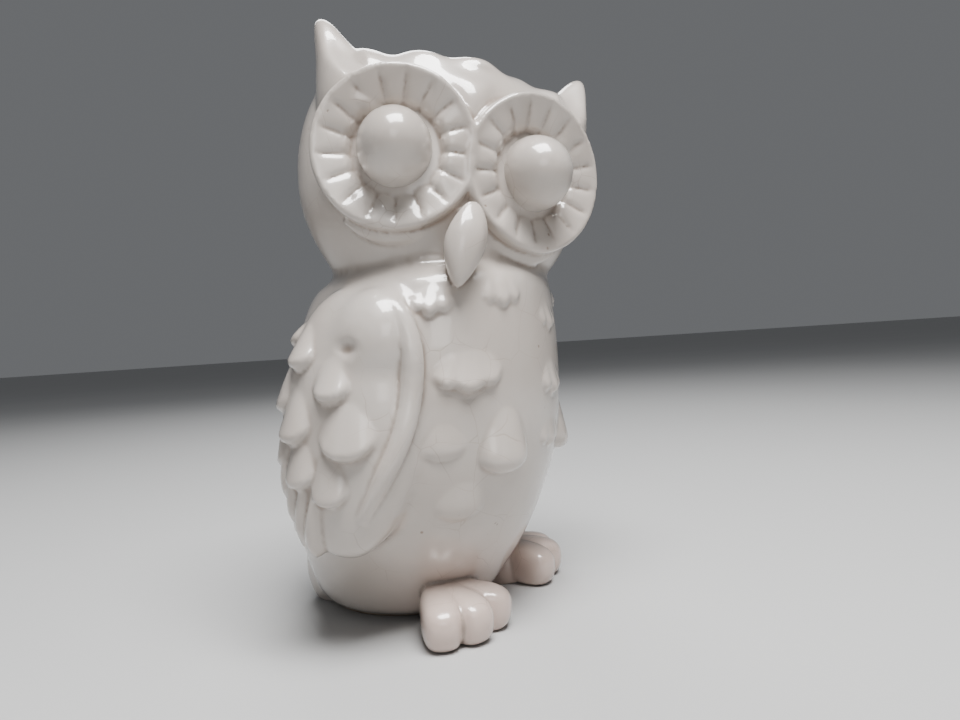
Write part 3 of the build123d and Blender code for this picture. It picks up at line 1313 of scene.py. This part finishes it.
class Recipe:
    """A material under construction."""

    def __init__(self, name: str) -> None:
        """Starts a material with an empty Principled shader."""
        self.material = bpy.data.materials.new(name)
        self.material.use_nodes = True
        self.nodes = self.material.node_tree.nodes
        self.links = self.material.node_tree.links
        self.shader = next(node for node in self.nodes if node.type == "BSDF_PRINCIPLED")

    def node(self, kind: str, settings: dict[str, object], values: object, output: object = 0) -> Wire:
        """Adds any node.

        Args:
            kind: the node's type.
            settings: its own settings, which are set first.
            values: numbers or wires for its inputs, by name or in order.
            output: which output to give back.

        Returns:
            The output as a wire.
        """
        made = self.nodes.new(kind)
        for key, value in settings.items():
            setattr(made, key, value)
        pairs = values.items() if isinstance(values, dict) else enumerate(values)
        for key, value in pairs:
            self.feed(made.inputs[key], value)
        return Wire(self, made.outputs[output])

    def feed(self, target: bpy.types.NodeSocket, value: object) -> None:
        """Links a wire to an input, or sets a number on it."""
        if isinstance(value, Wire):
            self.links.new(value.socket, target)
        else:
            target.default_value = value

    def blend(self, share: object, one: object, other: object) -> Wire:
        """A colour between two colours."""
        made = self.nodes.new("ShaderNodeMix")
        made.data_type = "RGBA"
        for slot, value in ((0, share), (6, one), (7, other)):
            self.feed(made.inputs[slot], value)
        return Wire(self, made.outputs[2])

    def noise(self, where: Wire, scale: float, detail: float = 3.0, output: object = 0) -> Wire:
        """Cloudy noise at so many patches a metre."""
        return self.node(
            "ShaderNodeTexNoise", {}, {"Vector": where, "Scale": scale, "Detail": detail}, output
        )


@dataclass(frozen=True)
class Glaze:
    """A thick off-white glossy glaze, finely crazed, with painted shade darkening the hollows and pink over
    the toes.
    """

    name: str = "glaze"
    body: tuple[float, float, float, float] = (0.52, 0.468, 0.425, 1)
    thin: tuple[float, float, float, float] = (0.57, 0.525, 0.485, 1)
    # Painted shade: the dark brown that the colour turns to in the hollows and creases.
    pooled: tuple[float, float, float, float] = (0.30, 0.24, 0.20, 1)
    pink: tuple[float, float, float, float] = (0.64, 0.49, 0.43, 1)
    craze: tuple[float, float, float, float] = (0.30, 0.22, 0.17, 1)
    bare: tuple[float, float, float, float] = (0.30, 0.23, 0.17, 1)
    chip: tuple[float, float, float] = (-0.0277, -0.0300, 0.0022)
    pink_share: float = 0.62
    # How strongly the painted shade darkens the hollows.
    pooled_share: float = 0.8
    craze_share: float = 0.26
    speck_share: float = 0.75
    roughness: float = 0.3
    coat_roughness: float = 0.05

    def make(self) -> bpy.types.Material:
        """Mixes the glaze.

        Returns:
            The material.
        """
        mix = Recipe(self.name)
        where = mix.node("ShaderNodeTexCoord", {}, {}, "Object")
        parts = mix.nodes.new("ShaderNodeSeparateXYZ")
        mix.feed(parts.inputs[0], where)
        high, front = Wire(mix, parts.outputs[2]), Wire(mix, parts.outputs[1])
        hollow = mix.node("ShaderNodeAttribute", {"attribute_name": "hollow"}, {}, "Fac")
        clouds = mix.noise(where, 38.0, 3.0)
        colour = mix.blend(clouds.between(0.35, 0.7), self.body, self.thin)
        low = (1 - high.between(0.004, 0.030)) * (1 - front.between(-0.022, 0.004))
        colour = mix.blend(low * self.pink_share, colour, self.pink)
        # Painted shade: the colour darkens towards dark brown in the hollows and creases, by the measured
        # hollow attribute.
        colour = mix.blend(hollow.between(0.04, 0.8) * self.pooled_share, colour, self.pooled)
        bent = mix.node(
            "ShaderNodeVectorMath",
            {"operation": "MULTIPLY_ADD"},
            [mix.noise(where, 90.0, 2.0, "Color"), (0.004, 0.004, 0.004), where],
        )
        cells = mix.node(
            "ShaderNodeTexVoronoi",
            {"feature": "DISTANCE_TO_EDGE"},
            {"Vector": bent, "Scale": 105.0, "Randomness": 1.0},
        )
        patchy = mix.noise(where, 55.0, 1.0).between(0.46, 0.62)
        line = (1 - cells.between(0.003, 0.013)) * patchy
        colour = mix.blend(line * self.craze_share, colour, self.craze)
        pits = mix.node("ShaderNodeTexVoronoi", {}, {"Vector": where, "Scale": 210.0, "Randomness": 1.0})
        rare = mix.noise(where, 170.0, 0.0).between(0.66, 0.70)
        speck = (1 - pits.between(0.05, 0.11)) * rare
        colour = mix.blend(speck * self.speck_share, colour, self.craze)
        ragged = mix.noise(where, 900.0, 3.0)
        away = mix.node("ShaderNodeVectorMath", {"operation": "DISTANCE"}, [where, self.chip], "Value")
        bare = 1 - (away + ragged * 0.0016).between(0.0017, 0.0021)
        colour = mix.blend(bare * ragged.between(0.35, 0.6), colour, self.bare)
        shader = mix.shader
        mix.feed(shader.inputs["Base Color"], colour)
        shader.inputs["Roughness"].default_value = self.roughness
        shader.inputs["IOR"].default_value = 1.5
        shader.inputs["Coat Weight"].default_value = 1.0
        shader.inputs["Coat Roughness"].default_value = self.coat_roughness
        uneven = mix.noise(where, 120.0, 2.0) * 0.6 + mix.noise(where, 30.0, 1.0) - line * 0.12 - speck * 0.8
        bump = mix.node("ShaderNodeBump", {}, {"Strength": 0.28, "Distance": 0.0006, "Height": uneven})
        mix.feed(shader.inputs["Normal"], bump)
        return mix.material


@dataclass(frozen=True)
class Bisque:
    """Bare fired clay, chalky and slightly stained."""

    name: str = "bisque"
    clay: tuple[float, float, float, float] = (0.60, 0.52, 0.43, 1)
    stain: tuple[float, float, float, float] = (0.42, 0.34, 0.27, 1)

    def make(self) -> bpy.types.Material:
        """Mixes the bare clay."""
        mix = Recipe(self.name)
        where = mix.node("ShaderNodeTexCoord", {}, {}, "Object")
        patches = mix.noise(where, 140.0, 6.0)
        colour = mix.blend(patches.between(0.4, 0.75), self.clay, self.stain)
        mix.feed(mix.shader.inputs["Base Color"], colour)
        mix.shader.inputs["Roughness"].default_value = 0.85
        grain = mix.noise(where, 2600.0, 3.0)
        bump = mix.node("ShaderNodeBump", {}, {"Strength": 0.3, "Distance": 0.0003, "Height": grain})
        mix.feed(mix.shader.inputs["Normal"], bump)
        return mix.material


@dataclass
class Studio:
    """The pale floor, the soft lights and the camera."""

    eye: tuple[float, float, float] = (-0.1696, -0.1007, 0.0699)
    right: tuple[float, float, float] = (0.4205, -0.9050, -0.0645)
    up: tuple[float, float, float] = (0.0462, -0.0497, 0.9977)
    lens: float = 26.25
    aim: tuple[float, float, float] = (0.0, 0.0, 0.08)
    lamps: tuple[tuple[str, tuple[float, float, float], tuple[float, float], float], ...] = (
        ("overhead_lamp", (-0.16, -0.20, 0.72), (0.42, 0.34), 9.2),
        ("back_lamp", (0.45, 0.35, 0.7), (0.4, 0.4), 1.6),
        ("side_lamp", (-0.65, -0.45, 0.4), (0.3, 0.3), 0.5),
    )
    air: float = 0.2

    def floor(self) -> None:
        """A plain pale floor."""
        Bench.let_go()
        bpy.ops.mesh.primitive_plane_add(size=60)
        floor = bpy.context.object
        floor.name = "studio_floor"
        paper = Recipe("floor_paper")
        where = paper.node("ShaderNodeTexCoord", {}, {}, "Object")
        tone = paper.noise(where, 3.0, 2.0)
        paper.feed(
            paper.shader.inputs["Base Color"],
            paper.blend(tone, (0.50, 0.50, 0.50, 1), (0.54, 0.54, 0.535, 1)),
        )
        paper.shader.inputs["Roughness"].default_value = 0.7
        floor.data.materials.append(paper.material)

    def lamp(self, name: str, at: Vector, size: tuple[float, float], power: float) -> None:
        """Hangs one soft rectangular lamp that points at the owl.

        Args:
            name: its name.
            at: where it hangs, in metres.
            size: its two sides.
            power: in watts.
        """
        light = bpy.data.lights.new(name, "AREA")
        light.shape = "RECTANGLE"
        light.size, light.size_y = size
        light.energy = power
        lamp = bpy.data.objects.new(name, light)
        lamp.location = at
        lamp.rotation_euler = (Vector(self.aim) - at).to_track_quat("-Z", "Y").to_euler()
        bpy.context.scene.collection.objects.link(lamp)

    def light(self) -> None:
        """A large lamp overhead and in front, and a weak one from the side."""
        for name, at, size, power in self.lamps:
            self.lamp(name, Vector(at), size, power)
        world = bpy.data.worlds.new("studio_air")
        world.use_nodes = True
        backdrop = world.node_tree.nodes["Background"]
        backdrop.inputs["Color"].default_value = (0.75, 0.77, 0.8, 1)
        backdrop.inputs["Strength"].default_value = self.air
        bpy.context.scene.world = world
        bpy.context.scene.view_settings.look = "AgX - Medium High Contrast"

    def camera(self) -> None:
        """Stands the camera close in front of the owl's right wing."""
        lens = bpy.data.cameras.new("studio_camera")
        lens.lens = self.lens
        lens.sensor_width = 36.0
        lens.clip_start = 0.005
        camera = bpy.data.objects.new("studio_camera", lens)
        right, up = Vector(self.right).normalized(), Vector(self.up).normalized()
        back = right.cross(up)
        camera.matrix_world = Matrix.Translation(self.eye) @ Matrix((right, up, back)).transposed().to_4x4()
        bpy.context.scene.collection.objects.link(camera)
        bpy.context.scene.camera = camera


def main() -> None:
    """Builds the figurine and the room it is shown in."""
    logging.basicConfig(level=logging.INFO, format="%(name)s: %(message)s")
    studio = Studio()
    studio.camera()
    studio.light()
    studio.floor()
    body = Body()
    head = Head(neck=body.neck)
    wings = [Wing(side=side, body=body) for side in Side]
    thrown = [Lump("body_shell", body.clay())] + [Lump("head_shell", item) for item in head.clay()]
    body.tail()
    head.brow()
    head.crown_tufts()
    for work in (body, head):
        thrown.extend(work.given_up())
    for wing in wings:
        thrown.extend(wing.clay())
    potter = Potter(neck=body.neck)
    core, core_names = potter.throw(thrown, [wing.dimple() for wing in wings])
    skin = Skin(core)
    for side in Side:
        head.disc(side)
        head.ear(side)
    head.beak()
    head.ledges()
    chest = Chest(body=body, skin=skin)
    chest.build()
    feet = [Foot(side=side) for side in Side]
    for wing in wings:
        wing.skin = skin
        wing.build()
    for foot in feet:
        foot.build()
    lumps = [lump for work in (body, head, chest, *wings, *feet) for lump in work.lumps]
    LOG.info("%d lumps pressed on", len(lumps))
    pieces = potter.fuse(core, core_names, lumps, [head.ear_hollow(side) for side in Side])
    for side in Side:
        dome = head.eyeball(side)
        Bench.soft(dome)
        pieces[f"{side.word}_eyeball"] = dome
    glaze = Glaze().make()
    for node, piece in pieces.items():
        piece.data.materials.append(glaze)
        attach(piece, "root")
        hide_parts(node)
        LOG.info("%s: %d faces", piece.name, len(piece.data.polygons))
    ring = Base().build()
    Bench.soft(ring)
    ring.data.materials.append(Bisque().make())
    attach(ring, "root")
    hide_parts("base_plate")
    LOG.info("%s: %d faces", ring.name, len(ring.data.polygons))


if __name__ == "__main__":
    main()
